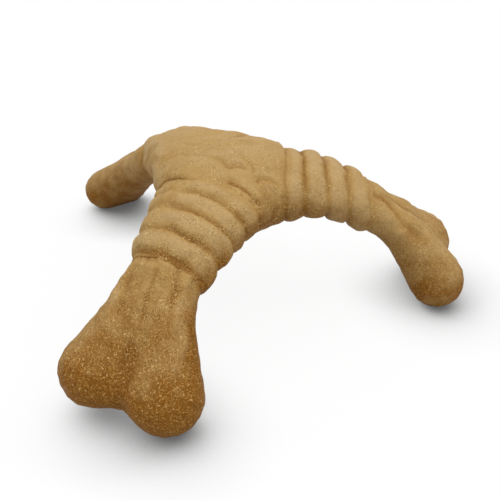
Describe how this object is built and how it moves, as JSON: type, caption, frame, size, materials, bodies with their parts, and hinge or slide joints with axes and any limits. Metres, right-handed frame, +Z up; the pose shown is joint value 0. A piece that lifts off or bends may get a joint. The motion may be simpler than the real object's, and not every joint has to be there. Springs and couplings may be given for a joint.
{
  "type": "wood-fibre dog chew toy",
  "caption": "Wishbone-shaped dog chew: a raised centre body with ribbed grips on its prongs, arching down to knuckled bone ends that prop it off the floor.",
  "frame": {"origin": "on the floor, under the middle of the toy's outline in plan", "axes": "+Z up, -X along the stem, +X between the two prongs, +Y towards the left prong"},
  "size_m": [0.1828, 0.1774, 0.068],
  "materials": {
    "wood_fibre": "matte moulded wood-fibre composite, flecked with short straw-coloured fibres and dark specks"
  },
  "bodies": {
    "root": {"centre_body": "wood_fibre", "left_ribbed_grip": "wood_fibre", "left_bone_end": "wood_fibre", "right_ribbed_grip": "wood_fibre", "right_bone_end": "wood_fibre", "stem_bone_end": "wood_fibre"}
  },
  "joints": []
}
